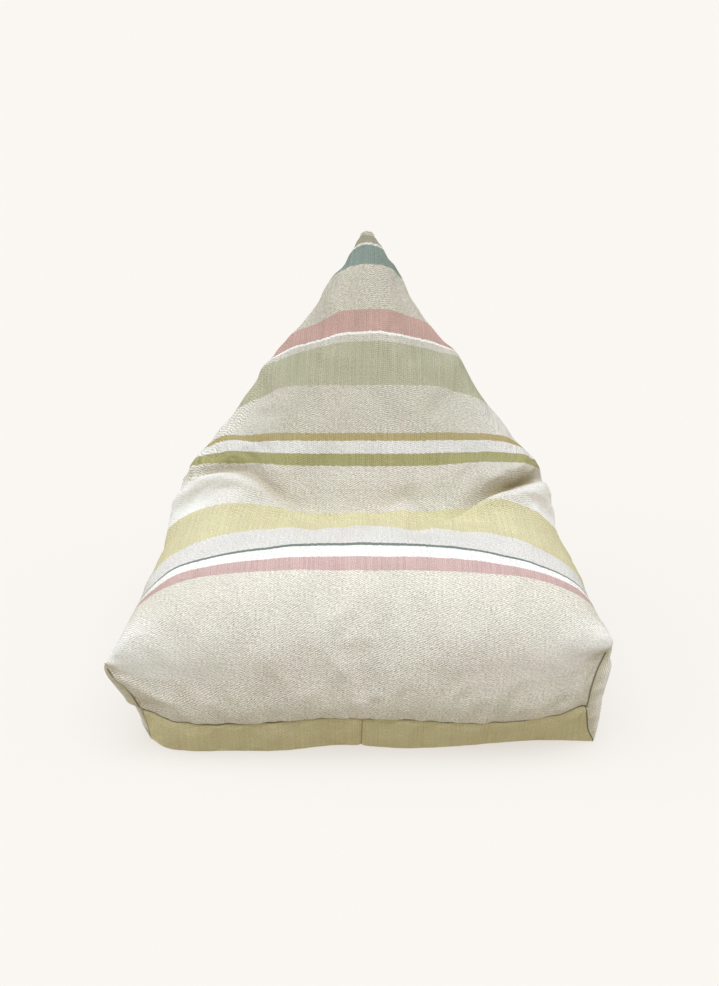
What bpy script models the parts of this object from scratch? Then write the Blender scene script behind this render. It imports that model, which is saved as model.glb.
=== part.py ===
"""A lounge pouf: a filled cloth cover with a seat in front and a back that rises to a point.

The front faces -Y, up is +Z, and the underside lies on z = 0. All sizes are in metres.

The cover is a fan of slanted sections. Each one runs from the left floor edge up over the cover and
down to the right floor edge. "Cloth" is the length of cloth between a section and the front seam,
over the seat and up the back. "Across" is the length of cloth from the middle line, to the right.
The front is boxed: each corner is sewn across, with an ear at the top of that seam and a foot below.
"""
import bpy
import bmesh
import numpy as np

# The whole pouf: ear to ear, front to back edge, and floor to tip
WIDTH = 0.890
DEPTH = 1.050
HEIGHT = 0.800

# Cloth and seams
CLOTH_THICKNESS = 0.0025
CLEARANCE = 0.0003
SEAM_GROOVE = 0.0044
PANEL_INSET = 0.0052
MIDDLE_SEAM_HALF_GAP = 0.0002
CORNER_SEAM = 0.18

# Cells across each half of a section: over the top, down the side, under to the middle
TOP_CELLS = 16
SIDE_CELLS = 12
UNDER_CELLS = TOP_CELLS // 2
CORNER_CELLS = SIDE_CELLS // 2

# One row for each section. A section leans from its floor line up to its top line. It is widest at
# a share of its height. "Arm" is how far it swells at each side of the seat, "bow" how far it bulges
# to the back, and "lean" how far its top stands to the right. "Cells" is the number of cells along
# the cloth up to the next row.
SECTION_COLUMNS = (
    "cloth", "cells", "top_y", "top_z", "floor_y", "half_width", "widest_at", "floor_half", "squareness",
    "arm", "bow", "lean")
SECTIONS = np.array([
    (0.090, 3, 0.002, 0.163, 0.068, 0.400, 0.96, 0.392, 9.0, 0.000, 0.000, 0.000),
    (0.130, 2, 0.004, 0.202, 0.108, 0.416, 0.87, 0.394, 5.0, 0.000, 0.000, 0.000),
    (0.170, 3, 0.016, 0.240, 0.148, 0.424, 0.80, 0.388, 3.9, 0.000, 0.000, 0.000),
    (0.240, 3, 0.056, 0.297, 0.218, 0.414, 0.73, 0.374, 3.2, 0.000, 0.000, 0.000),
    (0.320, 3, 0.124, 0.333, 0.298, 0.402, 0.70, 0.356, 2.9, 0.000, 0.000, 0.000),
    (0.400, 3, 0.205, 0.341, 0.375, 0.397, 0.70, 0.338, 2.7, 0.008, 0.000, 0.000),
    (0.480, 5, 0.284, 0.331, 0.450, 0.393, 0.72, 0.318, 2.6, 0.024, 0.000, 0.000),
    (0.540, 5, 0.342, 0.318, 0.510, 0.383, 0.76, 0.302, 2.6, 0.042, 0.001, 0.000),
    (0.585, 3, 0.383, 0.337, 0.555, 0.374, 0.79, 0.287, 2.6, 0.046, 0.002, 0.000),
    (0.630, 3, 0.402, 0.381, 0.600, 0.366, 0.82, 0.265, 2.7, 0.028, 0.004, 0.000),
    (0.680, 3, 0.423, 0.425, 0.645, 0.346, 0.85, 0.240, 2.9, 0.008, 0.006, 0.000),
    (0.750, 3, 0.457, 0.487, 0.710, 0.286, 0.88, 0.203, 3.0, 0.000, 0.009, 0.000),
    (0.830, 3, 0.498, 0.555, 0.785, 0.224, 0.90, 0.160, 3.0, 0.000, 0.013, -0.002),
    (0.910, 3, 0.539, 0.623, 0.860, 0.164, 0.91, 0.118, 3.0, 0.000, 0.017, 0.000),
    (0.990, 3, 0.581, 0.691, 0.935, 0.107, 0.92, 0.075, 3.0, 0.000, 0.021, 0.002),
    (1.060, 2, 0.618, 0.751, 1.000, 0.055, 0.93, 0.038, 3.0, 0.000, 0.025, 0.004),
    (1.120, 0, 0.650, 0.802, 1.050, 0.010, 0.94, 0.006, 3.0, 0.000, 0.028, 0.005),
])
ARM_AT = 0.72
ARM_REACH = 0.27
SIDE_ROUNDNESS = 2.6
PANEL_END_HALF = 0.030
FINE_SECTIONS = 500

# The two ends of each corner seam, and how far the cloth round them is drawn out
EARS = {"left": (-0.459, 0.040, 0.166), "right": (0.437, 0.050, 0.200)}
FEET = {"left": (-0.392, 0.062, 0.0), "right": (0.406, 0.070, 0.0)}
EAR_REACH = 0.042
FOOT_REACH = 0.090

# How far the front swells between its upper edge and the front seam
FRONT_SWELL = 0.006

# The front seam from corner to corner, as x, y, z
FRONT_SEAM = np.array([
    (-0.405, 0.050, 0.073),
    (-0.330, 0.022, 0.068),
    (-0.200, 0.018, 0.070),
    (-0.060, 0.020, 0.079),
    (0.060, 0.020, 0.077),
    (0.210, 0.018, 0.071),
    (0.300, 0.022, 0.078),
    (0.360, 0.035, 0.088),
    (0.393, 0.050, 0.095),
])

# Where the front touches the floor: x, and how far forward or back of a straight line it lies
FLOOR_WAVE = np.array([
    (-0.380, 0.000),
    (-0.320, -0.020),
    (-0.150, -0.018),
    (-0.050, 0.000),
    (0.080, -0.011),
    (0.160, -0.004),
    (0.230, 0.007),
    (0.300, 0.017),
    (0.410, 0.000),
])
FLOOR_WAVE_REACH = 0.120
SEAM_END_REACH = 0.060

# The crease between the seat and the back, from the left side to the right: its place as a share of
# the way to the side, how far it climbs above the crease's middle, how deep it is drawn in, and how
# far the seat's cloth stands out below it. The rows of the mesh follow it.
CREASE_CLOTH = 0.547
CREASE_WIDTH = 0.016
CREASE_SPREAD = 0.110
CREASE_COLUMNS = ("share", "rise", "depth", "lip")
CREASE = np.array([
    (-1.00, 0.108, 0.002, 0.001),
    (-0.80, 0.107, 0.008, 0.005),
    (-0.45, 0.088, 0.018, 0.010),
    (-0.22, 0.033, 0.009, 0.004),
    (0.00, 0.000, 0.002, 0.000),
    (0.26, 0.013, 0.010, 0.005),
    (0.50, 0.065, 0.024, 0.013),
    (0.70, 0.104, 0.022, 0.012),
    (0.85, 0.124, 0.010, 0.005),
    (1.00, 0.128, 0.003, 0.001),
])

# A fold runs between two points of the cloth and grows from the first to the second. It is drawn in
# by its depth, and the cloth on its seat side stands out by its lip. The last rows are the corner
# seams, with the roll of cloth beside each.
FOLD_FADE = 0.35
FOLD_COLUMNS = ("from_across", "from_cloth", "to_across", "to_cloth", "width", "depth", "lip")
FOLDS = [
    (-0.330, 0.622, -0.190, 0.592, 0.018, 0.005, 0.003),
    (-0.015, 0.950, -0.012, 0.810, 0.020, 0.004, 0.000),
    (0.165, 0.800, 0.150, 0.890, 0.020, 0.004, 0.000),
    (-0.330, 0.030, -0.430, 0.070, 0.016, 0.014, -0.006),
    (0.330, 0.150, 0.420, 0.090, 0.020, 0.005, 0.000),
    (-0.440, 0.090, -0.480, 0.090, 0.012, 0.010, 0.000),
    (-0.440, 0.118, -0.520, 0.118, 0.016, -0.006, 0.000),
    (0.430, 0.090, 0.480, 0.090, 0.012, 0.012, 0.000),
    (0.430, 0.118, 0.520, 0.118, 0.016, -0.003, 0.000),
]

# Soft hollows, and bulges where the depth is below zero
HOLLOW_COLUMNS = ("across", "cloth", "reach_across", "reach_cloth", "depth")
HOLLOWS = [
    (-0.110, 0.940, 0.025, 0.030, 0.005),
    (-0.160, 0.250, 0.120, 0.080, -0.006),
    (0.180, 0.200, 0.110, 0.080, -0.005),
    (0.020, 0.160, 0.070, 0.060, 0.005),
    (-0.330, 0.360, 0.070, 0.070, -0.006),
    (0.300, 0.420, 0.070, 0.060, 0.006),
    (-0.520, 0.300, 0.090, 0.120, -0.006),
    (0.540, 0.360, 0.100, 0.120, -0.010),
    (-0.480, 0.620, 0.080, 0.080, 0.006),
    (0.470, 0.640, 0.080, 0.090, 0.008),
    (-0.360, 0.850, 0.090, 0.100, -0.008),
    (0.380, 0.880, 0.090, 0.100, -0.007),
]

# Colours of the cloth, sRGB values already turned to linear light
NATURAL_CLOTH = (0.60, 0.57, 0.47, 1.0)
SHADED_CLOTH = (0.56, 0.53, 0.42, 1.0)
CLOTH_ROUGHNESS = 0.9


def clear_scene():
    for old in list(bpy.data.objects):
        bpy.data.objects.remove(old, do_unlink=True)


def smooth_rows(table, at):
    """Rows of the table at new values of its first column, on a smooth curve through its own rows."""
    key = table[:, 0]
    slope = np.gradient(table, key, axis=0)
    row = np.clip(np.searchsorted(key, at, side="right") - 1, 0, len(key) - 2)
    span = (key[row + 1] - key[row])[:, None]
    t = np.clip((at - key[row])[:, None] / span, 0, 1)
    start, end = table[row], table[row + 1]
    leave, arrive = slope[row] * span, slope[row + 1] * span
    ends = (2 * t**3 - 3 * t**2 + 1) * start + (3 * t**2 - 2 * t**3) * end
    return ends + (t**3 - 2 * t**2 + t) * leave + (t**3 - t**2) * arrive


def evenly(points, cells):
    """The same line, redrawn with cells of equal length."""
    steps = np.linalg.norm(np.diff(points, axis=0), axis=1)
    length = np.concatenate([[0], np.cumsum(steps)])
    wanted = np.linspace(0, length[-1], cells + 1)
    return np.stack([np.interp(wanted, length, points[:, k]) for k in range(points.shape[1])], 1)


def half_section(row):
    """The right half of one section, from the top of the middle line round to the underside's middle."""
    size = dict(zip(SECTION_COLUMNS, row))
    turn = np.linspace(0, np.pi / 2, 200)
    widest = size["widest_at"]
    over_x = size["half_width"] * np.sin(turn) ** (2 / size["squareness"])
    over_rise = widest + (1 - widest) * np.cos(turn) ** (2 / size["squareness"])
    share = over_x / size["half_width"]
    swell = np.exp(-((share - ARM_AT) / ARM_REACH) ** 2) * (1 - share**8)
    over_rise = over_rise + swell * size["arm"] / size["top_z"]
    roundness = 2 / SIDE_ROUNDNESS
    side_x = size["floor_half"] + (size["half_width"] - size["floor_half"]) * np.cos(turn) ** roundness
    side_rise = widest * (1 - np.sin(turn) ** roundness)
    under = np.array([(size["floor_half"], 0.0), (0.0, 0.0)])
    line = np.concatenate([
        evenly(np.stack([over_x, over_rise], 1), TOP_CELLS),
        evenly(np.stack([side_x, side_rise], 1), SIDE_CELLS)[1:],
        evenly(under, UNDER_CELLS)[1:],
    ])
    rise = line[:, 1]
    bow = size["bow"] * 4 * rise * (1 - rise)
    y = size["floor_y"] + (size["top_y"] - size["floor_y"]) * rise + bow
    return np.stack([line[:, 0], y, size["top_z"] * rise], 1)


def crease_at(column_count):
    """The crease's place, depth and lip at each column of a section, level along the underside."""
    middle = column_count // 2
    column = np.arange(column_count) - middle
    share = np.clip(column / TOP_CELLS, -1, 1)
    crease = dict(zip(CREASE_COLUMNS, smooth_rows(CREASE, share).T))
    down = np.clip((np.abs(column) - TOP_CELLS) / SIDE_CELLS, 0, 1)
    return {name: values * (1 - down) ** 2 for name, values in crease.items()}


def row_cloth():
    """The cloth length of every row of the mesh, on the middle line."""
    stretches = [
        np.linspace(row[0], following[0], int(row[1]), endpoint=False)
        for row, following in zip(SECTIONS[:-1], SECTIONS[1:])
    ]
    return np.concatenate(stretches + [SECTIONS[-1:, 0]])


def whole_sections(cloth):
    """Sections as lines of points, from the underside's middle over the left side to the right."""
    rows = smooth_rows(SECTIONS, cloth)
    right = np.array([half_section(row) for row in rows])
    left = (right * (-1, 1, 1))[:, ::-1]
    sections = np.concatenate([left, right[:, 1:]], axis=1)
    lean = rows[:, SECTION_COLUMNS.index("lean")]
    sections[..., 0] += lean[:, None] * sections[..., 2] / HEIGHT
    return sections


def fan_rows():
    """The rows of the mesh, which are sections bent to follow the crease, and each point's cloth."""
    row = row_cloth()
    fine_cloth = np.linspace(row[0], row[-1], FINE_SECTIONS)
    sections = whole_sections(fine_cloth)
    climb = crease_at(sections.shape[1])["rise"]
    spread = np.exp(-((row - CREASE_CLOTH) / CREASE_SPREAD) ** 2)
    cloth = np.clip(row[:, None] + spread[:, None] * climb, row[0], row[-1])
    cloth[[0, -1]] = row[[0, -1], None]
    fan = np.empty((len(row), sections.shape[1], 3))
    for column in range(sections.shape[1]):
        for axis in range(3):
            fan[:, column, axis] = np.interp(cloth[:, column], fine_cloth, sections[:, column, axis])
    return fan, cloth


def draw_out(points, corner, tip, reach):
    """Pulls the corner to its tip, and the cloth round it less and less."""
    near = np.exp(-np.linalg.norm(points - corner, axis=-1) / reach)
    return points + near[..., None] * (np.array(tip) - corner)


def patch_between(top, bottom, left, right):
    """A smooth grid of points between four edges that share their corners."""
    u = np.linspace(0, 1, len(top))[None, :, None]
    v = np.linspace(0, 1, len(left))[:, None, None]
    down = (1 - v) * top[None] + v * bottom[None]
    along = (1 - u) * left[:, None] + u * right[:, None]
    corners = (1 - v) * ((1 - u) * top[0] + u * top[-1]) + v * ((1 - u) * bottom[0] + u * bottom[-1])
    return down + along - corners


def grid_faces(ids):
    """Four-sided faces of a grid of vertex numbers."""
    corners = (ids[:-1, :-1], ids[:-1, 1:], ids[1:, 1:], ids[1:, :-1])
    return np.stack(corners, axis=-1).reshape(-1, 4)


def vertex_normals(points, faces):
    """Outward normals, from each face's two diagonals."""
    across = points[faces[:, 2]] - points[faces[:, 0]]
    along = points[faces[:, 3]] - points[faces[:, 1]]
    face_normals = np.cross(across, along)
    normals = np.zeros_like(points)
    for corner in range(4):
        np.add.at(normals, faces[:, corner], face_normals)
    return normals / np.maximum(np.linalg.norm(normals, axis=1), 1e-12)[:, None]


def relief(across, cloth):
    """How far the folds and hollows move the cloth outward at each point."""
    height = np.zeros_like(across)
    place = np.stack([across, cloth], axis=-1)
    for row in FOLDS:
        fold = dict(zip(FOLD_COLUMNS, row))
        start = np.array((fold["from_across"], fold["from_cloth"]))
        line = np.array((fold["to_across"], fold["to_cloth"])) - start
        t = np.clip((place - start) @ line / (line @ line), 0, 1)
        away = place - start - t[..., None] * line
        seat_side = np.array((line[1], -line[0])) * np.sign(line[0] or 1) / np.linalg.norm(line)
        distance = np.linalg.norm(away, axis=-1)
        lip_distance = np.linalg.norm(away - 1.3 * fold["width"] * seat_side, axis=-1)
        groove = fold["depth"] * np.exp(-(distance / fold["width"]) ** 2)
        lip = fold["lip"] * np.exp(-(lip_distance / fold["width"]) ** 2)
        height += (lip - groove) * (FOLD_FADE + (1 - FOLD_FADE) * t)
    for row in HOLLOWS:
        hollow = dict(zip(HOLLOW_COLUMNS, row))
        u = (across - hollow["across"]) / hollow["reach_across"]
        v = (cloth - hollow["cloth"]) / hollow["reach_cloth"]
        height -= hollow["depth"] * np.exp(-u**2 - v**2)
    return height


def crease_relief(column_count):
    """How far the crease between the seat and the back moves each point of the fan outward."""
    crease = crease_at(column_count)
    away = (row_cloth() - CREASE_CLOTH)[:, None]
    groove = crease["depth"] * np.exp(-(away / CREASE_WIDTH) ** 2)
    lip = crease["lip"] * np.exp(-(away / CREASE_WIDTH + 1.4) ** 2)
    return lip - groove


def outer_surface():
    """The cover's outside: its points, and the vertex numbers of each part of its mesh.

    Each set of vertex numbers is a grid. Those of the fan go round each section and close on
    themselves, those of the front go from the left to the right.
    """
    fan, cloth = fan_rows()
    middle = TOP_CELLS + SIDE_CELLS + UNDER_CELLS
    corner = {"left": middle - TOP_CELLS, "right": middle + TOP_CELLS}
    foot = {"left": UNDER_CELLS, "right": 2 * middle - UNDER_CELLS}
    on_floor = np.r_[0:UNDER_CELLS + 1, 2 * middle - UNDER_CELLS:2 * middle + 1]

    wave = smooth_rows(FLOOR_WAVE, fan[:, on_floor, 0].ravel())[:, 1].reshape(len(fan), -1)
    fan[:, on_floor, 1] += wave * np.exp(-(cloth[:, on_floor] - cloth[0, 0]) / FLOOR_WAVE_REACH)
    for side in ("left", "right"):
        fan = draw_out(fan, fan[0, corner[side]].copy(), EARS[side], EAR_REACH)
        fan = draw_out(fan, fan[0, foot[side]].copy(), FEET[side], FOOT_REACH)
    fan[:, on_floor, 2] = 0

    # The front: an upper face over the front seam, and a lower face between that seam and the floor
    over = fan[0, corner["left"]:corner["right"] + 1]
    left_end = fan[0, foot["left"]:corner["left"] + 1][::-1]
    right_end = fan[0, corner["right"]:foot["right"] + 1]
    under = np.concatenate([fan[0, foot["left"]:0:-1], fan[0, 2 * middle:foot["right"] - 1:-1]])
    joints = np.stack([left_end[CORNER_CELLS], right_end[CORNER_CELLS]])
    seam_x = np.linspace(joints[0, 0], joints[1, 0], 2 * TOP_CELLS + 1)
    seam = smooth_rows(FRONT_SEAM, seam_x)
    for joint, missing in zip(joints, joints - seam[[0, -1]]):
        seam += np.exp(-np.abs(seam_x - joint[0]) / SEAM_END_REACH)[:, None] * missing
    seam[[0, -1]] = joints
    upper = patch_between(over, seam, left_end[:CORNER_CELLS + 1], right_end[:CORNER_CELLS + 1])
    down = np.linspace(0, 1, CORNER_CELLS + 1)[:, None]
    share = np.linspace(-1, 1, 2 * TOP_CELLS + 1)
    upper[..., 1] -= FRONT_SWELL * 4 * down * (1 - down) * (1 - share**4)
    lower = patch_between(seam[::2], under, left_end[CORNER_CELLS:], right_end[CORNER_CELLS:])

    # Vertex numbers
    rows = len(fan)
    fan_ids = np.arange(rows * 2 * middle).reshape(rows, 2 * middle)
    fan_ids = np.concatenate([fan_ids, fan_ids[:, :1]], axis=1)
    upper_ids = fan_ids.size + np.arange(upper[..., 0].size).reshape(upper.shape[:2])
    lower_ids = upper_ids.max() + 1 + np.arange(lower[..., 0].size).reshape(lower.shape[:2])
    upper_ids[0] = fan_ids[0, corner["left"]:corner["right"] + 1]
    upper_ids[:, 0] = fan_ids[0, foot["left"]:corner["left"] + 1][::-1][:CORNER_CELLS + 1]
    upper_ids[:, -1] = fan_ids[0, corner["right"]:foot["right"] + 1][:CORNER_CELLS + 1]
    lower_ids[:, 0] = fan_ids[0, foot["left"]:corner["left"] + 1][::-1][CORNER_CELLS:]
    lower_ids[:, -1] = fan_ids[0, corner["right"]:foot["right"] + 1][CORNER_CELLS:]
    lower_ids[0] = upper_ids[-1, ::2]
    lower_ids[-1] = np.concatenate(
        [fan_ids[0, foot["left"]:0:-1], fan_ids[0, 2 * middle:foot["right"] - 1:-1]])

    points = np.zeros((lower_ids.max() + 1, 3))
    points[fan_ids] = fan
    points[upper_ids] = upper
    points[lower_ids] = lower
    ids = {"fan": fan_ids, "upper": upper_ids, "lower": lower_ids, "corner": corner, "foot": foot}

    # Folds and hollows in the seat, the back, the sides and the upper front
    steps = np.linalg.norm(np.diff(fan, axis=1), axis=-1)
    length = np.concatenate([np.zeros((rows, 1)), np.cumsum(steps, axis=1)], axis=1)
    place = np.zeros((len(points), 2))
    place[fan_ids, 0] = length - length[:, middle:middle + 1]
    place[fan_ids, 1] = cloth
    inner = upper_ids[1:-1, 1:-1]
    place[inner, 0] = upper[1:-1, 1:-1, 0]
    place[inner, 1] = np.linspace(CORNER_SEAM / 2, 0, CORNER_CELLS + 1)[1:-1, None]
    normals = vertex_normals(points, surface_faces(ids))
    movable = np.unique(np.concatenate([fan_ids[:, foot["left"] + 1:foot["right"]].ravel(), inner.ravel()]))
    lift = relief(place[:, 0], place[:, 1])
    lift[fan_ids] += crease_relief(fan.shape[1])
    points[movable] += normals[movable] * lift[movable, None]
    return points, ids


def surface_faces(ids):
    """Every four-sided face of the outside, turned outward."""
    return np.concatenate([
        grid_faces(ids["fan"]),
        grid_faces(ids["upper"][::-1]),
        grid_faces(ids["lower"][::-1]),
    ])


def panel_grid(points, ids):
    """The part of the outside that the two underside panels cover, from the front seam to the back."""
    fan, left, right = ids["fan"], ids["foot"]["left"], ids["foot"]["right"]
    half_widths = points[fan[:, right], 0]
    rows = int(np.argmax(half_widths < PANEL_END_HALF))
    last = fan.shape[1] - 1
    under = np.concatenate([fan[1:rows, left:0:-1], fan[1:rows, last:right - 1:-1]], axis=1)
    return np.concatenate([ids["lower"], under]), rows


def step_in(edge, inner, distance):
    """Moves an edge of a grid towards the next line of points."""
    way = inner - edge
    return edge + way * (distance / np.linalg.norm(way, axis=-1))[..., None]


def drawn_in(grid, front, left, right, back):
    """The grid with each of its four edges moved in by its own distance."""
    grid = grid.copy()
    grid[0] = step_in(grid[0], grid[1], front)
    grid[-1] = step_in(grid[-1], grid[-2], back)
    grid[:, 0] = step_in(grid[:, 0], grid[:, 1], left)
    grid[:, -1] = step_in(grid[:, -1], grid[:, -2], right)
    return grid


def sunk(grid, depth):
    """The grid moved inward along its normals."""
    numbers = np.arange(grid[..., 0].size).reshape(grid.shape[:2])
    flat = grid.reshape(-1, 3)
    normals = vertex_normals(flat, grid_faces(numbers[::-1]))
    return (flat - depth * normals).reshape(grid.shape)


def split_faces(ids):
    """Three-sided faces of a grid, all cut along the same diagonal."""
    quads = grid_faces(ids)
    return np.concatenate([quads[:, [0, 1, 2]], quads[:, [0, 2, 3]]])


def make_object(name, points, faces, colour):
    """A closed body from points and faces, with its faces turned outward, and its own material."""
    shape = bmesh.new()
    verts = [shape.verts.new(point) for point in points]
    for face in faces:
        shape.faces.new([verts[number] for number in face])
    loose = [vert for vert in verts if not vert.link_faces]
    bmesh.ops.delete(shape, geom=loose, context="VERTS")
    bmesh.ops.recalc_face_normals(shape, faces=shape.faces)
    mesh = bpy.data.meshes.new(name)
    shape.to_mesh(mesh)
    shape.free()
    mesh.shade_smooth()
    material = bpy.data.materials.new(name)
    material.use_nodes = True
    surface = material.node_tree.nodes["Principled BSDF"]
    surface.inputs["Base Color"].default_value = colour
    surface.inputs["Roughness"].default_value = CLOTH_ROUGHNESS
    surface.inputs["Metallic"].default_value = 0.0
    mesh.materials.append(material)
    thing = bpy.data.objects.new(name, mesh)
    bpy.context.scene.collection.objects.link(thing)
    return thing


def make_seat_and_back(points, ids, panel, panel_rows):
    """The filled cover, sunk under the panels by the thickness of their cloth."""
    fan, upper, foot = ids["fan"], ids["upper"], ids["foot"]
    recess = drawn_in(points[panel], SEAM_GROOVE, SEAM_GROOVE, SEAM_GROOVE, SEAM_GROOVE)
    recess = sunk(recess, CLOTH_THICKNESS + CLEARANCE)
    recess_ids = len(points) + np.arange(panel.size).reshape(panel.shape)
    all_points = np.concatenate([points, recess.reshape(-1, 3)])

    faces = grid_faces(fan[:, foot["left"]:foot["right"] + 1]).tolist()
    faces += grid_faces(upper).tolist()
    faces += split_faces(recess_ids).tolist()
    # The groove round the panels: along the front seam, then the two sides, then the back
    seam = upper[-1]
    for cell in range(panel.shape[1] - 1):
        edge = seam[2 * cell:2 * cell + 3].tolist()
        faces.append(edge + [recess_ids[0, cell + 1], recess_ids[0, cell]])
    faces += grid_faces(np.stack([panel[:, 0], recess_ids[:, 0]])).tolist()
    faces += grid_faces(np.stack([panel[:, -1], recess_ids[:, -1]])).tolist()
    faces += grid_faces(np.stack([panel[-1], recess_ids[-1]])).tolist()
    # The plain underside behind the panels, and the strip along the back edge
    last = fan.shape[1] - 1
    faces += grid_faces(fan[panel_rows - 1:, :foot["left"] + 1]).tolist()
    faces += grid_faces(fan[panel_rows - 1:, foot["right"]:last + 1]).tolist()
    ridge = fan[-1]
    middle = last // 2
    faces.append([ridge[middle], ridge[middle + 1], ridge[middle - 1]])
    for step in range(1, TOP_CELLS + SIDE_CELLS - 1):
        faces.append([ridge[middle + step], ridge[middle + step + 1],
                      ridge[middle - step - 1], ridge[middle - step]])
    faces.append(list(ridge[foot["right"] - 1:last]) + list(ridge[:foot["left"] + 2]))
    return make_object("seat_and_back", all_points, faces, NATURAL_CLOTH)


def make_underside(name, grid, left_edge, right_edge):
    """One panel of the underside: a sheet that turns up in front to the front seam."""
    outside = drawn_in(grid, PANEL_INSET, left_edge, right_edge, PANEL_INSET)
    inside = sunk(outside, CLOTH_THICKNESS)
    outer_ids = np.arange(grid[..., 0].size).reshape(grid.shape[:2])
    inner_ids = outer_ids + outer_ids.size
    faces = split_faces(outer_ids).tolist() + split_faces(inner_ids).tolist()
    for edge in (np.s_[0], np.s_[-1], np.s_[:, 0], np.s_[:, -1]):
        faces += grid_faces(np.stack([outer_ids[edge], inner_ids[edge]])).tolist()
    both = np.concatenate([outside.reshape(-1, 3), inside.reshape(-1, 3)])
    return make_object(name, both, faces, SHADED_CLOTH)


def fitted(points):
    """The points stretched to the pouf's width, depth and height, with the origin under their middle."""
    low, high = points.min(axis=0), points.max(axis=0)
    middle = (low + high) / 2
    stretch = np.array((WIDTH, DEPTH, HEIGHT)) / (high - low)
    return (points - (middle[0], middle[1], low[2])) * stretch


clear_scene()
surface_points, surface_ids = outer_surface()
surface_points = fitted(surface_points)
panel_ids, panel_row_count = panel_grid(surface_points, surface_ids)
make_seat_and_back(surface_points, surface_ids, panel_ids, panel_row_count)
panel_points = surface_points[panel_ids]
make_underside(
    "underside_left", panel_points[:, :UNDER_CELLS + 1], PANEL_INSET, MIDDLE_SEAM_HALF_GAP)
make_underside(
    "underside_right", panel_points[:, UNDER_CELLS:], MIDDLE_SEAM_HALF_GAP, PANEL_INSET)
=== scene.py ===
import math
import bpy
import numpy as np
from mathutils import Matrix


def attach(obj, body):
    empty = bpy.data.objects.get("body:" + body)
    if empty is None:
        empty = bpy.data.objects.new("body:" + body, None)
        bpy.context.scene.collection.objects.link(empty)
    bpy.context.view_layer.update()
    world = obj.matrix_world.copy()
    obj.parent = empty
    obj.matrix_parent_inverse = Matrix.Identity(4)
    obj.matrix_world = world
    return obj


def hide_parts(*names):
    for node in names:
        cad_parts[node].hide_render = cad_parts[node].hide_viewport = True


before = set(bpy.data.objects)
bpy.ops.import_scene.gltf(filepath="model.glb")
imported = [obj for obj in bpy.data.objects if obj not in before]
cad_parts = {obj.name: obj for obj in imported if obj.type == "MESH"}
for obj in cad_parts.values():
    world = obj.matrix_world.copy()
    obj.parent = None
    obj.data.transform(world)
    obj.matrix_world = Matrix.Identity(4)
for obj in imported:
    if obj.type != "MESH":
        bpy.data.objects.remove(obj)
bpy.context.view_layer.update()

# The striped cover
# Heavy hand-loomed cotton twill in woven stripes, sewn as a tube and loosely filled. A seam down the
# back edge and one low in front close it. Each front corner is boxed: sewn across, with an ear above
# and a foot below. The front faces -Y, the floor is z = 0, and all sizes are in metres.
WIDTH = 0.890
DEPTH = 1.050
HEIGHT = 0.800
CLOTH_THICKNESS = 0.0025
CORNER_SEAM = 0.18

# Where the lines of the mesh lie: (place, spacing) rows, for shares of the top, of the side, and for
# the length of cloth from the front seam. They are closest at the seams and at the crease.
TOP_SPACING = np.array([(0.00, 0.030), (0.90, 0.030), (0.97, 0.014), (1.00, 0.006)])
SIDE_SPACING = np.array([
    (0.00, 0.020), (0.08, 0.040), (0.42, 0.040), (0.50, 0.014), (0.58, 0.040), (0.92, 0.045),
    (1.00, 0.020)])
ROW_SPACING = np.array([
    (0.090, 0.0025), (0.097, 0.0045), (0.110, 0.0105), (0.490, 0.0110), (0.516, 0.0050), (0.532, 0.0028),
    (0.556, 0.0028), (0.576, 0.0050), (0.604, 0.0110), (1.080, 0.0110), (1.108, 0.0050), (1.120, 0.0030)])

# A section leans from its floor line up to its top line, and is widest at a share of its height.
# "Arm" is its swell at each side of the seat, "bow" its bulge to the back, "lean" its top's shift.
SECTION_COLUMNS = (
    "cloth", "top_y", "top_z", "floor_y", "half_width", "widest_at", "floor_half", "squareness",
    "arm", "bow", "lean")
SECTIONS = np.array([
    (0.090, 0.002, 0.163, 0.068, 0.400, 0.96, 0.392, 9.0, 0.000, 0.000, 0.000),
    (0.130, 0.004, 0.202, 0.108, 0.416, 0.87, 0.394, 5.0, 0.000, 0.000, 0.000),
    (0.170, 0.016, 0.240, 0.148, 0.424, 0.80, 0.388, 3.9, 0.000, 0.000, 0.000),
    (0.240, 0.056, 0.297, 0.218, 0.414, 0.73, 0.374, 3.2, 0.000, 0.000, 0.000),
    (0.320, 0.124, 0.333, 0.298, 0.402, 0.70, 0.356, 2.9, 0.000, 0.000, 0.000),
    (0.400, 0.205, 0.341, 0.375, 0.397, 0.70, 0.338, 2.7, 0.008, 0.000, 0.000),
    (0.480, 0.284, 0.331, 0.450, 0.393, 0.72, 0.318, 2.6, 0.024, 0.000, 0.000),
    (0.540, 0.342, 0.318, 0.510, 0.387, 0.76, 0.302, 2.6, 0.042, 0.001, 0.000),
    (0.585, 0.383, 0.337, 0.555, 0.378, 0.79, 0.287, 2.6, 0.046, 0.002, 0.000),
    (0.630, 0.402, 0.381, 0.600, 0.372, 0.82, 0.265, 2.7, 0.028, 0.004, 0.000),
    (0.680, 0.423, 0.425, 0.645, 0.350, 0.85, 0.240, 2.9, 0.008, 0.006, 0.000),
    (0.750, 0.457, 0.487, 0.710, 0.289, 0.88, 0.203, 3.0, 0.000, 0.009, 0.000),
    (0.830, 0.498, 0.555, 0.785, 0.231, 0.90, 0.160, 3.0, 0.000, 0.013, -0.002),
    (0.910, 0.539, 0.623, 0.860, 0.177, 0.91, 0.118, 3.0, 0.000, 0.017, 0.002),
    (0.990, 0.581, 0.691, 0.935, 0.109, 0.92, 0.075, 3.0, 0.000, 0.021, 0.002),
    (1.060, 0.618, 0.751, 1.000, 0.063, 0.93, 0.038, 3.0, 0.000, 0.025, 0.006),
    (1.120, 0.650, 0.802, 1.050, 0.014, 0.94, 0.006, 3.0, 0.000, 0.028, 0.005),
])
ARM_AT = 0.72
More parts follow.
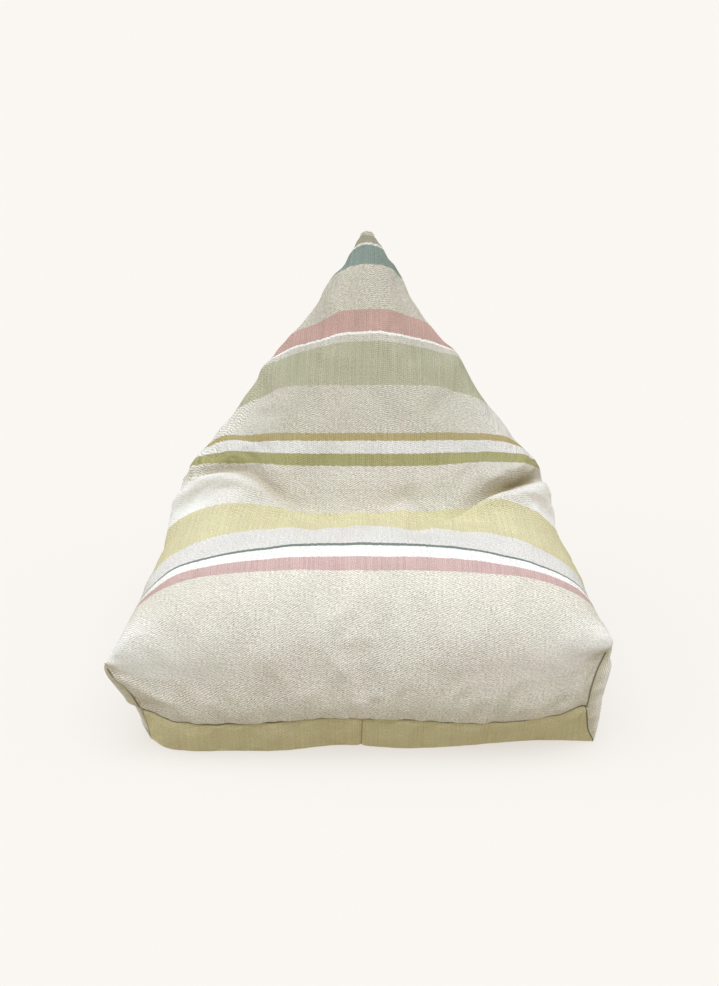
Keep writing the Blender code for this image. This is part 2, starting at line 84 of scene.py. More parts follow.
ARM_REACH = 0.27
SIDE_ROUNDNESS = 2.6
FINE_SECTIONS = 600

# The two ends of each corner seam, and how far the cloth round them is drawn out
EARS = {"left": (-0.463, 0.040, 0.167), "right": (0.437, 0.050, 0.200)}
FEET = {"left": (-0.393, 0.092, 0.0), "right": (0.418, 0.082, 0.0)}
EAR_REACH = 0.042
FOOT_REACH = 0.090
TIP_ROUNDNESS = 0.010
FRONT_SWELL = 0.006

# The front seam from corner to corner as x, y, z, and the front's line on the floor as x and its
# place in front of or behind a straight line
FRONT_SEAM = np.array([
    (-0.405, 0.050, 0.073), (-0.330, 0.022, 0.068), (-0.200, 0.018, 0.070), (-0.060, 0.020, 0.079),
    (0.060, 0.020, 0.077), (0.210, 0.018, 0.071), (0.300, 0.022, 0.078), (0.360, 0.035, 0.088),
    (0.393, 0.050, 0.095)])
FLOOR_WAVE = np.array([
    (-0.393, 0.000), (-0.360, -0.026), (-0.320, -0.031), (-0.250, -0.025), (-0.150, -0.020),
    (-0.050, 0.000), (0.080, -0.011), (0.160, -0.005), (0.230, 0.005), (0.300, 0.012), (0.410, -0.002)])
FLOOR_WAVE_REACH = 0.120
SEAM_END_REACH = 0.060
MIDDLE_SEAM_SHIFT = -0.008

# The crease between the seat and the back, from side to side: its place as a share of the top, how
# far it climbs, how deep it is drawn in, how far the seat's cloth stands out below it, and how wide
# its seat side is, which is crisp where the seat's cloth folds over
CREASE_CLOTH = 0.547
CREASE_WIDTH = 0.018
CREASE_LIP_AT = -0.019
CREASE_LIP_WIDTH = 0.015
CREASE_SPREAD = 0.110
CREASE_COLUMNS = ("share", "rise", "depth", "lip", "edge")
CREASE = np.array([
    (-1.00, 0.108, 0.001, 0.001, 0.014), (-0.80, 0.107, 0.006, 0.004, 0.014),
    (-0.45, 0.088, 0.017, 0.010, 0.013), (-0.22, 0.033, 0.009, 0.004, 0.014),
    (0.00, 0.000, 0.001, 0.000, 0.014), (0.26, 0.008, 0.009, 0.004, 0.011),
    (0.50, 0.055, 0.036, 0.014, 0.006), (0.70, 0.093, 0.040, 0.014, 0.005),
    (0.85, 0.116, 0.013, 0.003, 0.007), (1.00, 0.122, 0.001, 0.000, 0.012)])

# A fold grows from its first point to its second, and its seat side stands out by its lip
FOLD_FADE = 0.35
FOLD_COLUMNS = ("from_across", "from_cloth", "to_across", "to_cloth", "width", "depth", "lip")
FOLDS = [
    (-0.310, 0.604, -0.200, 0.578, 0.013, 0.003, 0.002),
    (-0.245, 0.648, -0.345, 0.655, 0.012, 0.010, 0.007),
    (-0.015, 0.950, -0.012, 0.810, 0.020, 0.004, 0.000),
    (0.165, 0.800, 0.150, 0.890, 0.020, 0.004, 0.000),
    (-0.345, 0.046, -0.440, 0.078, 0.010, -0.013, 0.000),
    (0.330, 0.150, 0.420, 0.090, 0.020, 0.005, 0.000),
    (0.340, 0.020, 0.372, 0.062, 0.010, 0.003, 0.002),
    (0.290, 0.016, 0.352, 0.040, 0.010, 0.002, 0.000),
    (-0.440, 0.110, -0.560, 0.110, 0.014, -0.010, 0.000),
    (0.430, 0.112, 0.540, 0.112, 0.014, -0.005, 0.000),
]

# Soft hollows, and bulges where the depth is below zero
HOLLOW_COLUMNS = ("across", "cloth", "reach_across", "reach_cloth", "depth")
HOLLOWS = [
    (-0.385, 0.026, 0.036, 0.018, 0.010),
    (-0.110, 0.940, 0.025, 0.030, 0.005),
    (-0.160, 0.250, 0.120, 0.080, -0.006),
    (0.180, 0.200, 0.110, 0.080, -0.005),
    (0.020, 0.160, 0.070, 0.060, 0.005),
    (-0.330, 0.360, 0.070, 0.070, -0.006),
    (0.300, 0.420, 0.070, 0.060, 0.006),
    (-0.520, 0.300, 0.090, 0.120, -0.009),
    (0.540, 0.360, 0.100, 0.120, -0.010),
    (-0.470, 0.585, 0.070, 0.060, -0.007),
    (0.470, 0.640, 0.080, 0.090, 0.005),
    (0.520, 0.420, 0.070, 0.050, -0.006),
    (-0.360, 0.850, 0.090, 0.100, -0.005),
    (0.380, 0.880, 0.090, 0.100, -0.004),
]

# Loose cloth is never quite smooth: how high its dents are, and the length of the shortest and longest
DENTS = [(0.0007, 0.060, 0.130), (0.00025, 0.034, 0.060)]
DENT_WAVES = 40

# The cloth rolls into the front seam and the seam down the underside's middle, (depth, width), in
# puckers that vary it by a share. At the corner seams it is tucked in, less at the ear, and over a
# wider strip in front than beside.
FRONT_ROLL = (0.0045, 0.0050)
MIDDLE_ROLL = (0.0016, 0.0040)
PUCKER_SHARE = 0.20
CORNER_TUCK = {"left": 0.008, "right": 0.018}
TUCK_AT_EAR = 0.75
TUCK_IN_FRONT = 0.040
TUCK_BESIDE = 0.010
SEAM_GAP = 0.0004
# How much fainter the painted shade line is along the underside's middle seam
MIDDLE_SEAM_FAINTER = 0.0018


def stepped(spacing_rows, step=1):
    """Places whose spacing follows the rows, with a number of cells that the step divides."""
    place, spacing = spacing_rows.T
    fine = np.linspace(place[0], place[-1], 4001)
    density = 1 / np.interp(fine, place, spacing)
    count = np.concatenate([[0], np.cumsum((density[1:] + density[:-1]) / 2 * np.diff(fine))])
    cells = step * int(round(count[-1] / step))
    return np.interp(np.linspace(0, count[-1], cells + 1), count, fine)


TOP_SHARES = stepped(TOP_SPACING)
SIDE_SHARES = stepped(SIDE_SPACING, step=2)
ROWS = stepped(ROW_SPACING)
TOP_CELLS = len(TOP_SHARES) - 1
SIDE_CELLS = len(SIDE_SHARES) - 1
CORNER_CELLS = SIDE_CELLS // 2
MIDDLE = 2 * TOP_CELLS + SIDE_CELLS
CORNER = {"left": MIDDLE - TOP_CELLS, "right": MIDDLE + TOP_CELLS}
FOOT = {"left": TOP_CELLS, "right": 2 * MIDDLE - TOP_CELLS}
# The columns on the floor, from the left foot to the right
UNDERNEATH = np.r_[FOOT["left"]:0:-1, 2 * MIDDLE:FOOT["right"] - 1:-1]
ACROSS_SHARES = np.concatenate([-TOP_SHARES[:0:-1], TOP_SHARES])


def smooth_rows(table, at):
    """Rows of the table at new values of its first column, on a smooth curve through its own rows."""
    key = table[:, 0]
    slope = np.gradient(table, key, axis=0)
    row = np.clip(np.searchsorted(key, at, side="right") - 1, 0, len(key) - 2)
    span = (key[row + 1] - key[row])[:, None]
    t = np.clip((at - key[row])[:, None] / span, 0, 1)
    start, end = table[row], table[row + 1]
    leave, arrive = slope[row] * span, slope[row + 1] * span
    ends = (2 * t**3 - 3 * t**2 + 1) * start + (3 * t**2 - 2 * t**3) * end
    return ends + (t**3 - 2 * t**2 + t) * leave + (t**3 - t**2) * arrive


def redrawn(points, shares):
    """The same line, with points at these shares of its length."""
    steps = np.linalg.norm(np.diff(points, axis=0), axis=1)
    length = np.concatenate([[0], np.cumsum(steps)])
    return np.stack([np.interp(shares * length[-1], length, column) for column in points.T], 1)


def half_section(row):
    """The right half of one section, from the top of the middle line round to the underside's middle."""
    size = dict(zip(SECTION_COLUMNS, row))
    turn = np.linspace(0, np.pi / 2, 300)
    widest = size["widest_at"]
    over_x = size["half_width"] * np.sin(turn) ** (2 / size["squareness"])
    over_rise = widest + (1 - widest) * np.cos(turn) ** (2 / size["squareness"])
    share = over_x / size["half_width"]
    swell = np.exp(-((share - ARM_AT) / ARM_REACH) ** 2) * (1 - share**8)
    over_rise = over_rise + swell * size["arm"] / size["top_z"]
    roundness = 2 / SIDE_ROUNDNESS
    side_x = size["floor_half"] + (size["half_width"] - size["floor_half"]) * np.cos(turn) ** roundness
    side_rise = widest * (1 - np.sin(turn) ** roundness)
    under = np.array([(size["floor_half"], 0.0), (0.0, 0.0)])
    line = np.concatenate([
        redrawn(np.stack([over_x, over_rise], 1), TOP_SHARES),
        redrawn(np.stack([side_x, side_rise], 1), SIDE_SHARES)[1:],
        redrawn(under, 1 - TOP_SHARES[::-1])[1:],
    ])
    rise = line[:, 1]
    bow = size["bow"] * 4 * rise * (1 - rise)
    y = size["floor_y"] + (size["top_y"] - size["floor_y"]) * rise + bow
    return np.stack([line[:, 0], y, size["top_z"] * rise], 1)


def whole_sections(cloth):
    """Sections as lines of points, from the underside's middle over the left side to the right."""
    rows = smooth_rows(SECTIONS, cloth)
    right = np.array([half_section(row) for row in rows])
    left = (right * (-1, 1, 1))[:, ::-1]
    sections = np.concatenate([left, right[:, 1:]], axis=1)
    lean = rows[:, SECTION_COLUMNS.index("lean")]
    sections[..., 0] += lean[:, None] * sections[..., 2] / HEIGHT
    return sections


# The crease along a section's columns: it fades down each side and is level underneath
half_down = np.concatenate([np.zeros(TOP_CELLS), SIDE_SHARES, np.ones(TOP_CELLS)])
half_share = np.concatenate([TOP_SHARES, np.ones(SIDE_CELLS + TOP_CELLS)])
column_down = np.concatenate([half_down[:0:-1], half_down])
column_share = np.concatenate([-half_share[:0:-1], half_share])
crease = dict(zip(CREASE_COLUMNS, smooth_rows(CREASE, column_share).T * (1 - column_down) ** 2))


def fan_rows():
    """The rows of the mesh, which are sections bent to follow the crease, and each point's cloth."""
    fine_cloth = np.linspace(ROWS[0], ROWS[-1], FINE_SECTIONS)
    sections = whole_sections(fine_cloth)
    spread = np.exp(-((ROWS - CREASE_CLOTH) / CREASE_SPREAD) ** 2)
    cloth = np.clip(ROWS[:, None] + spread[:, None] * crease["rise"], ROWS[0], ROWS[-1])
    cloth[[0, -1]] = ROWS[[0, -1], None]
    fan = np.empty((len(ROWS), sections.shape[1], 3))
    for column in range(sections.shape[1]):
        for axis in range(3):
            fan[:, column, axis] = np.interp(cloth[:, column], fine_cloth, sections[:, column, axis])
    return fan, cloth


def draw_out(points, corner, tip, reach):
    """Pulls the corner to its tip, and the cloth round it less and less."""
    distance = np.hypot(np.linalg.norm(points - corner, axis=-1), TIP_ROUNDNESS) - TIP_ROUNDNESS
    return points + np.exp(-distance / reach)[..., None] * (np.array(tip) - corner)


def patch_between(top, bottom, left, right, u, v):
    """A smooth grid of points between four edges that share their corners."""
    u, v = u[None, :, None], v[:, None, None]
    down = (1 - v) * top[None] + v * bottom[None]
    along = (1 - u) * left[:, None] + u * right[:, None]
    corners = (1 - v) * ((1 - u) * top[0] + u * top[-1]) + v * ((1 - u) * bottom[0] + u * bottom[-1])
    return down + along - corners


def grid_faces(ids):
    """Four-sided faces of a grid of vertex numbers."""
    corners = (ids[:-1, :-1], ids[:-1, 1:], ids[1:, 1:], ids[1:, :-1])
    return np.stack(corners, axis=-1).reshape(-1, 4)


def vertex_normals(points, faces):
    """Outward normals, from each face's two diagonals."""
    across = points[faces[:, 2]] - points[faces[:, 0]]
    along = points[faces[:, 3]] - points[faces[:, 1]]
    face_normals = np.cross(across, along)
    normals = np.zeros_like(points)
    for corner in range(4):
        np.add.at(normals, faces[:, corner], face_normals)
    return normals / np.maximum(np.linalg.norm(normals, axis=1), 1e-12)[:, None]


def relief(across, cloth):
    """How far the folds and hollows move the cloth outward at each point."""
    height = np.zeros_like(across)
    place = np.stack([across, cloth], axis=-1)
    for row in FOLDS:
        fold = dict(zip(FOLD_COLUMNS, row))
        start = np.array((fold["from_across"], fold["from_cloth"]))
        line = np.array((fold["to_across"], fold["to_cloth"])) - start
        t = np.clip((place - start) @ line / (line @ line), 0, 1)
        away = place - start - t[..., None] * line
        seat_side = np.array((line[1], -line[0])) * np.sign(line[0] or 1) / np.linalg.norm(line)
        distance = np.linalg.norm(away, axis=-1)
        lip_distance = np.linalg.norm(away - 1.3 * fold["width"] * seat_side, axis=-1)
        groove = fold["depth"] * np.exp(-(distance / fold["width"]) ** 2)
        lip = fold["lip"] * np.exp(-(lip_distance / fold["width"]) ** 2)
        height += (lip - groove) * (FOLD_FADE + (1 - FOLD_FADE) * t)
    for row in HOLLOWS:
        hollow = dict(zip(HOLLOW_COLUMNS, row))
        u = (across - hollow["across"]) / hollow["reach_across"]
        v = (cloth - hollow["cloth"]) / hollow["reach_cloth"]
        height -= hollow["depth"] * np.exp(-u**2 - v**2)
    return height


def dents(across, cloth):
    """Soft dents all over: waves of seeded lengths, directions and places."""
    draw = np.random.RandomState(4)
    height = np.zeros_like(across)
    for rise, shortest, longest in DENTS:
        for wave in range(DENT_WAVES):
            way = draw.uniform(0, 2 * np.pi)
            turns = 2 * np.pi / draw.uniform(shortest, longest)
            place = across * np.cos(way) + cloth * np.sin(way)
            height += rise * np.sqrt(2 / DENT_WAVES) * np.cos(turns * place + draw.uniform(0, 2 * np.pi))
    return height


def crease_relief():
    """How far the crease between the seat and the back moves each point of the fan outward."""
    away = (ROWS - CREASE_CLOTH)[:, None]
    width = np.where(away > 0, CREASE_WIDTH, np.maximum(crease["edge"], 1e-6))
    groove = crease["depth"] * np.exp(-(away / width) ** 2)
    lip = crease["lip"] * np.exp(-((away - CREASE_LIP_AT) / CREASE_LIP_WIDTH) ** 2)
    return lip - groove


# The cloth of the seat, the back, the sides and the underside
fan, fan_cloth = fan_rows()
on_floor = np.r_[0:TOP_CELLS + 1, 2 * MIDDLE - TOP_CELLS:2 * MIDDLE + 1]
floor_x = fan[:, on_floor, 0]
fan[:, on_floor, 0] += MIDDLE_SEAM_SHIFT * (1 - (floor_x / floor_x.max(axis=1, keepdims=True)) ** 2)
wave = smooth_rows(FLOOR_WAVE, fan[:, on_floor, 0].ravel())[:, 1].reshape(len(fan), -1)
fan[:, on_floor, 1] += wave * np.exp(-(fan_cloth[:, on_floor] - fan_cloth[0, 0]) / FLOOR_WAVE_REACH)
for side in ("left", "right"):
    fan = draw_out(fan, fan[0, CORNER[side]].copy(), EARS[side], EAR_REACH)
    fan = draw_out(fan, fan[0, FOOT[side]].copy(), FEET[side], FOOT_REACH)
fan[:, on_floor, 2] = 0

# The front, above the front seam and below it
over = fan[0, CORNER["left"]:CORNER["right"] + 1]
left_end = fan[0, FOOT["left"]:CORNER["left"] + 1][::-1]
right_end = fan[0, CORNER["right"]:FOOT["right"] + 1]
under = fan[0, UNDERNEATH]
joints = np.stack([left_end[CORNER_CELLS], right_end[CORNER_CELLS]])
seam_x = joints[0, 0] + (joints[1, 0] - joints[0, 0]) * (ACROSS_SHARES + 1) / 2
seam_x += MIDDLE_SEAM_SHIFT * (1 - ACROSS_SHARES**2)
seam = smooth_rows(FRONT_SEAM, seam_x)
for joint, missing in zip(joints, joints - seam[[0, -1]]):
    seam += np.exp(-np.abs(seam_x - joint[0]) / SEAM_END_REACH)[:, None] * missing
seam[[0, -1]] = joints
upper_down = SIDE_SHARES[:CORNER_CELLS + 1] * 2
lower_down = SIDE_SHARES[CORNER_CELLS:] * 2 - 1
sideways = (ACROSS_SHARES + 1) / 2
upper = patch_between(
    over, seam, left_end[:CORNER_CELLS + 1], right_end[:CORNER_CELLS + 1], sideways, upper_down)
swell = (4 * upper_down * (1 - upper_down))[:, None] * (1 - ACROSS_SHARES**4)
upper[..., 1] -= FRONT_SWELL * swell
lower = patch_between(seam, under, left_end[CORNER_CELLS:], right_end[CORNER_CELLS:], sideways, lower_down)

# Vertex numbers of the whole outside, as grids that share their edges
fan_ids = np.arange(len(ROWS) * 2 * MIDDLE).reshape(len(ROWS), 2 * MIDDLE)
fan_ids = np.concatenate([fan_ids, fan_ids[:, :1]], axis=1)
upper_ids = fan_ids.size + np.arange(upper[..., 0].size).reshape(upper.shape[:2])
lower_ids = upper_ids.max() + 1 + np.arange(lower[..., 0].size).reshape(lower.shape[:2])
left_ids = fan_ids[0, FOOT["left"]:CORNER["left"] + 1][::-1]
right_ids = fan_ids[0, CORNER["right"]:FOOT["right"] + 1]
upper_ids[0] = fan_ids[0, CORNER["left"]:CORNER["right"] + 1]
upper_ids[:, 0] = left_ids[:CORNER_CELLS + 1]
upper_ids[:, -1] = right_ids[:CORNER_CELLS + 1]
lower_ids[0] = upper_ids[-1]
lower_ids[:, 0] = left_ids[CORNER_CELLS:]
lower_ids[:, -1] = right_ids[CORNER_CELLS:]
lower_ids[-1] = fan_ids[0, UNDERNEATH]
outside_faces = np.concatenate([
    grid_faces(fan_ids), grid_faces(upper_ids[::-1]), grid_faces(lower_ids[::-1])])
points = np.zeros((lower_ids.max() + 1, 3))
points[fan_ids] = fan
points[upper_ids] = upper
points[lower_ids] = lower

# Where each point lies on the flat cloth: how far across from the middle, and how far up the cloth
steps = np.linalg.norm(np.diff(fan, axis=1), axis=-1)
length = np.concatenate([np.zeros((len(fan), 1)), np.cumsum(steps, axis=1)], axis=1)
fan_place = np.stack([length - length[:, MIDDLE:MIDDLE + 1], fan_cloth], axis=-1)
upper_place = np.empty(upper.shape[:2] + (2,))
upper_place[..., 0] = fan_place[0, CORNER["left"]:CORNER["right"] + 1, 0]
upper_place[..., 1] = CORNER_SEAM / 2 * (1 - upper_down)[:, None]

# The woven stripes run straight over the seat's middle and sink where the cloth goes down at its arms.
# Each row gives a stripe mark's length of cloth, and how much sooner the cloth reaches it at the
# middle, a quarter, a half and three quarters of the way to the side, and at the side. Further down the
# side the stripes come back towards their even widths.
STRIPE_SINK = np.array([
    (0.200, 0.000, 0.000, 0.000, 0.010, 0.015),
    (0.299, 0.000, 0.000, 0.002, 0.030, 0.045),
    (0.335, 0.000, 0.002, 0.015, 0.045, 0.075),
    (0.381, 0.000, 0.008, 0.036, 0.075, 0.115),
    (0.485, -0.015, 0.014, 0.066, 0.130, 0.165),
    (0.563, -0.006, -0.007, 0.000, -0.011, -0.015),
    (0.655, 0.000, 0.000, -0.003, -0.020, -0.030),
    (0.711, 0.000, 0.000, -0.002, -0.010, -0.015),
    (0.810, 0.000, 0.000, -0.001, 0.014, 0.022),
    (0.905, 0.002, 0.002, 0.016, 0.022, 0.028),
    (0.962, 0.002, 0.003, 0.016, 0.022, 0.028),
    (1.050, 0.000, 0.002, 0.006, 0.010, 0.012),
    (1.120, 0.000, 0.000, 0.000, 0.000, 0.000),
])
BACK_STARTS = 0.75
LEFT_SINKS_MORE = 0.35
EVEN_BELOW = 0.6
marks = STRIPE_SINK[:, 0]
for column, share in enumerate(column_share):
    sink = np.array([np.interp(abs(share), (0, 0.25, 0.5, 0.75, 1), row) for row in STRIPE_SINK[:, 1:]])
    sink = sink * np.where(marks > BACK_STARTS, 1 - LEFT_SINKS_MORE * np.sign(share), 1)
    sink *= 1 - EVEN_BELOW * column_down[column] ** 2
    at, value = np.append(0, marks - sink), np.append(0, marks)
    fan_place[:, column, 1] = np.interp(fan_cloth[:, column], at, value)

# Folds and hollows
lift = np.zeros(len(points))
lift[fan_ids] = relief(fan_place[..., 0], fan_cloth) + crease_relief()
lift[fan_ids] += dents(fan_place[..., 0], fan_cloth) * (1 - np.clip(column_down, 0, 1) ** 8)
inner = upper_ids[1:-1, 1:-1]
lift[inner] = relief(upper[1:-1, 1:-1, 0], upper_place[1:-1, 1:-1, 1])
lift[inner] += dents(upper_place[1:-1, 1:-1, 0], upper_place[1:-1, 1:-1, 1])
movable = np.unique(np.concatenate([fan_ids[:, FOOT["left"] + 1:FOOT["right"]].ravel(), inner.ravel()]))
normals = vertex_normals(points, outside_faces)
points[movable] += normals[movable] * lift[movable, None]


def smoothed(values, faces, turns):
    """The values, each evened out with its neighbours' values."""
    edges = np.unique(np.sort(np.concatenate([faces[:, [0, 1]], faces[:, [1, 2]]]), axis=1), axis=0)
    ends = np.concatenate([edges, edges[:, ::-1]])
    neighbours = np.maximum(np.bincount(ends[:, 0], minlength=len(values)), 1)[:, None]
    for turn in range(turns):
        total = [np.bincount(ends[:, 0], values[ends[:, 1], axis], len(values)) for axis in range(3)]
        values = (values + np.stack(total, 1) / neighbours) / 2
    return values


def near_seam(line):
    """For each point near the front: its distance from the seam, and where along the seam that is."""
    seam_points = redrawn(points[line], np.linspace(0, 1, SEAM_SAMPLES))
    distance, along = np.full(len(points), 1.0), np.zeros(len(points))
    for number in near_front:
        squares = ((seam_points - points[number]) ** 2).sum(axis=1)
        distance[number] = np.sqrt(squares.min())
        along[number] = squares.argmin() / (SEAM_SAMPLES - 1)
    return distance, along


SEAM_SAMPLES = 400

# Where the front turns up to the seat it is rounded, not creased
ROUNDED_OVER = 0.040
ROUNDED_DOWN = 0.35
ROUNDING_PASSES = 40
rounding = np.zeros(len(points))
rounding[fan_ids] = np.exp(-((fan_cloth - ROWS[0]) / ROUNDED_OVER) ** 2) * (np.abs(column_share) < 1)
rounding[fan_ids] *= 1 - np.abs(column_share) ** 8
front_rounding = np.exp(-(upper_down / ROUNDED_DOWN) ** 2)[:, None] * (1 - ACROSS_SHARES**8)
rounding[inner] = front_rounding[1:-1, 1:-1]
points += rounding[:, None] * (smoothed(points, outside_faces, ROUNDING_PASSES) - points)

# The cloth is tucked in at the corner seams, and rolls into the other seams with small puckers
FRONT_ROWS_BELOW = 0.15
near_front = np.unique(np.concatenate([
    fan_ids[ROWS < FRONT_ROWS_BELOW].ravel(), upper_ids.ravel(), lower_ids.ravel()]))
to_seam = np.full(len(points), 1.0)
beside = np.zeros(len(points), bool)
beside[fan_ids[1:]] = True
for side, line, inward in (("left", left_ids, 1), ("right", right_ids, -1)):
    distance, along = near_seam(line)
    width = np.where(beside, TUCK_BESIDE, TUCK_IN_FRONT)
    share = (TUCK_AT_EAR + (1 - TUCK_AT_EAR) * np.minimum(along / 0.2, 1)) * (1 - along**6)
    tuck = CORNER_TUCK[side] * share * np.exp(-(distance / width) ** 2)
    points[:, 0] += inward * tuck
    to_seam = np.minimum(to_seam, distance)
rolled_seams = [(upper_ids[-1], FRONT_ROLL, 0), (lower_ids[:, TOP_CELLS], MIDDLE_ROLL, MIDDLE_SEAM_FAINTER)]
for line, (depth, roll), fainter in rolled_seams:
    distance, along = near_seam(line)
    seam_length = np.linalg.norm(np.diff(points[line], axis=0), axis=1).sum()
    pucker = 1 + PUCKER_SHARE * dents(along * seam_length * 1.5, along) / DENTS[0][0]
    rolled = depth * np.clip(pucker, 0.3, 1.7) * np.exp(-(distance / roll) ** 2)
    points -= vertex_normals(points, outside_faces) * rolled[:, None]
    to_seam = np.minimum(to_seam, distance + fainter)
points[:, 2] = np.maximum(points[:, 2], 0)

# Stretched to the pouf's width, depth and height, with the origin under its middle
low, high = points.min(axis=0), points.max(axis=0)
middle_point = (low + high) / 2
stretch = np.array((WIDTH, DEPTH, HEIGHT)) / (high - low)
points = (points - (middle_point[0], middle_point[1], low[2])) * stretch

# Painted shade: the cloth is given a deeper, yellower tone where shade falls: above the crease, beside the
# corner seams and in the small facet under the left ear. It is painted a little deeper on the seat's front
# edge too.
SHADE_ABOVE_CREASE = 0.024
SHADE_BELOW_CREASE = 0.003
FULL_SHADE_AT_DEPTH = 0.036
SHADE_BESIDE_SEAMS = {"left": 0.75, "right": 0.65}
SHADE_BESIDE_SEAMS_REACH = 0.020
FACET_SHADE = {"x": -0.400, "cloth": 0.012, "reach_x": 0.045, "reach_cloth": 0.034, "share": 0.25}
# A band of the cloth as its middle, its reach up and down the cloth, and its share
SEAT_EDGE_SHADE = (0.258, 0.055, 0.11)
ARM_PAINTED_LIGHT = (0.503, 0.042, 0.95)
SHOULDER_PAINTED_LIGHT = (0.150, 0.085, 1.0)
BACK_SIDE_PAINTED_LIGHT = (0.755, 0.050, 0.42)


def band(cloth, middle, reach, share):
    """How strongly a tone shows: its share over its band, fading at the band's edges."""
    return share * np.exp(-((cloth - middle) / reach) ** 4)


def outer(inner_share, width):
    """For each column: 0 up to a share of the way to the side, then rising to 1 over a width."""
    return np.clip((np.abs(column_share) - inner_share) / width, 0, 1)


tucked = np.zeros(len(points))
above_crease = (ROWS - CREASE_CLOTH + SHADE_BELOW_CREASE)[:, None]
fading = np.exp(-(above_crease / np.where(above_crease > 0, SHADE_ABOVE_CREASE, SHADE_BELOW_CREASE)) ** 2)
tucked[fan_ids] = np.clip(crease["depth"] / FULL_SHADE_AT_DEPTH, 0, 1) * fading
for side, line in (("left", left_ids), ("right", right_ids)):
    distance, along = near_seam(line)
    shown = SHADE_BESIDE_SEAMS[side] * np.exp(-(distance / SHADE_BESIDE_SEAMS_REACH) ** 4) * beside
    tucked = np.maximum(tucked, shown)
facet_x = (points[upper_ids, 0] - FACET_SHADE["x"]) / FACET_SHADE["reach_x"]
facet_cloth = (upper_place[..., 1] - FACET_SHADE["cloth"]) / FACET_SHADE["reach_cloth"]
tucked[upper_ids] = np.maximum(tucked[upper_ids], FACET_SHADE["share"] * np.exp(-facet_x**2 - facet_cloth**4))
at_edge = band(fan_cloth, *SEAT_EDGE_SHADE) * (1 + column_share**2)
tucked[fan_ids] = np.maximum(tucked[fan_ids], at_edge)

# Painted light: the cloth is whitened where it stands proud and catches the light: on the seat's arms, the
# front's shoulders and the sides of the back
faded = np.zeros(len(points))
arms = band(ROWS[:, None], *ARM_PAINTED_LIGHT) * outer(0.30, 0.35)
shoulders = band(fan_cloth, *SHOULDER_PAINTED_LIGHT) * outer(0.52, 0.40) ** 1.5
back_sides = band(fan_cloth, *BACK_SIDE_PAINTED_LIGHT) * outer(0.45, 0.40)
faded[fan_ids] = np.maximum(np.maximum(arms, shoulders) * (1 - 0.5 * column_down), back_sides)

# The weave follows the cloth as it now lies
fan_weave = fan_place.copy()
columns = np.linalg.norm(np.diff(points[fan_ids], axis=1), axis=-1)
length = np.concatenate([np.zeros((len(fan), 1)), np.cumsum(columns, axis=1)], axis=1)
fan_weave[..., 0] = length - length[:, MIDDLE:MIDDLE + 1]
fan_weave[0, :, 1] = fan_cloth[0]
up_the_cloth = np.linalg.norm(np.diff(points[fan_ids], axis=0), axis=-1)
fan_weave[1:, :, 1] = fan_cloth[0] + np.cumsum(up_the_cloth, axis=0)
upper_weave = upper_place.copy()
upper_weave[..., 0] = fan_weave[0, CORNER["left"]:CORNER["right"] + 1, 0]
down_the_front = np.linalg.norm(np.diff(points[upper_ids], axis=0), axis=-1)
upper_weave[1:, :, 1] = CORNER_SEAM / 2 - np.cumsum(down_the_front, axis=0)

# The loose cloth is a little larger than the fill, so a short simulation puckers it between its seams.
# Only the puckers are kept: the broad shape is already the filled one. The seams, the crease and the
# cloth on the floor are held while it runs.
CLOTH_SETTINGS = {
    "quality": 6, "mass": 0.4, "tension_stiffness": 20, "compression_stiffness": 20, "shear_stiffness": 8,
    "bending_stiffness": 0.6, "use_pressure": True, "uniform_pressure_force": 4.0, "shrink_min": -0.030}
FRAMES = 20
LONGEST_MOVE = 0.0035
SMOOTHING_TURNS = 60
SEAM_HOLD = 0.005
CREASE_HOLD = 0.022
CREASE_HELD_FROM = 0.010


def placed(name, data):
    """A new object in the scene."""
    made = bpy.data.objects.new(name, data)
    bpy.context.scene.collection.objects.link(made)
    return made


def settled(points, faces, held):
    """The points after the filling presses the cloth out, with no point moved far."""
    mesh = bpy.data.meshes.new("loose_cloth")
    mesh.from_pydata(points.tolist(), [], faces.tolist())
    loose = placed("loose_cloth", mesh)
    pins = loose.vertex_groups.new(name="pins")
    for weight in np.unique(np.round(held, 1)):
        if weight > 0:
            pins.add(np.nonzero(np.round(held, 1) == weight)[0].tolist(), float(weight), "REPLACE")
    cloth = loose.modifiers.new("cloth", "CLOTH").settings
    for setting, value in CLOTH_SETTINGS.items():
        setattr(cloth, setting, value)
    cloth.effector_weights.gravity = 0
    cloth.vertex_group_mass = "pins"
    loose.modifiers["cloth"].collision_settings.use_collision = False
    for step in range(1, FRAMES + 1):
        bpy.context.scene.frame_set(step)
    evaluated = loose.evaluated_get(bpy.context.evaluated_depsgraph_get())
    result = bpy.data.meshes.new_from_object(evaluated)
    moved = np.array([vertex.co for vertex in result.vertices]) - points
    bpy.data.objects.remove(loose, do_unlink=True)
    bpy.data.meshes.remove(result)
    bpy.context.scene.frame_set(1)
    moved -= smoothed(moved, faces, SMOOTHING_TURNS)
    far = np.linalg.norm(moved, axis=1)
    moved *= (LONGEST_MOVE * np.tanh(far / LONGEST_MOVE) / np.maximum(far, 1e-9))[:, None]
    return points + moved * (1 - held)[:, None]


held = np.exp(-(to_seam / SEAM_HOLD) ** 2)
held[points[:, 2] < 0.001] = 1
held[fan_ids[-2:]] = 1
at_crease = np.exp(-((ROWS - CREASE_CLOTH) / CREASE_HOLD) ** 2)[:, None]
held[fan_ids] = np.maximum(held[fan_ids], at_crease * np.clip(crease["depth"] / CREASE_HELD_FROM, 0, 1))
points = settled(points, outside_faces, held)
points[:, 2] = np.maximum(points[:, 2], 0)


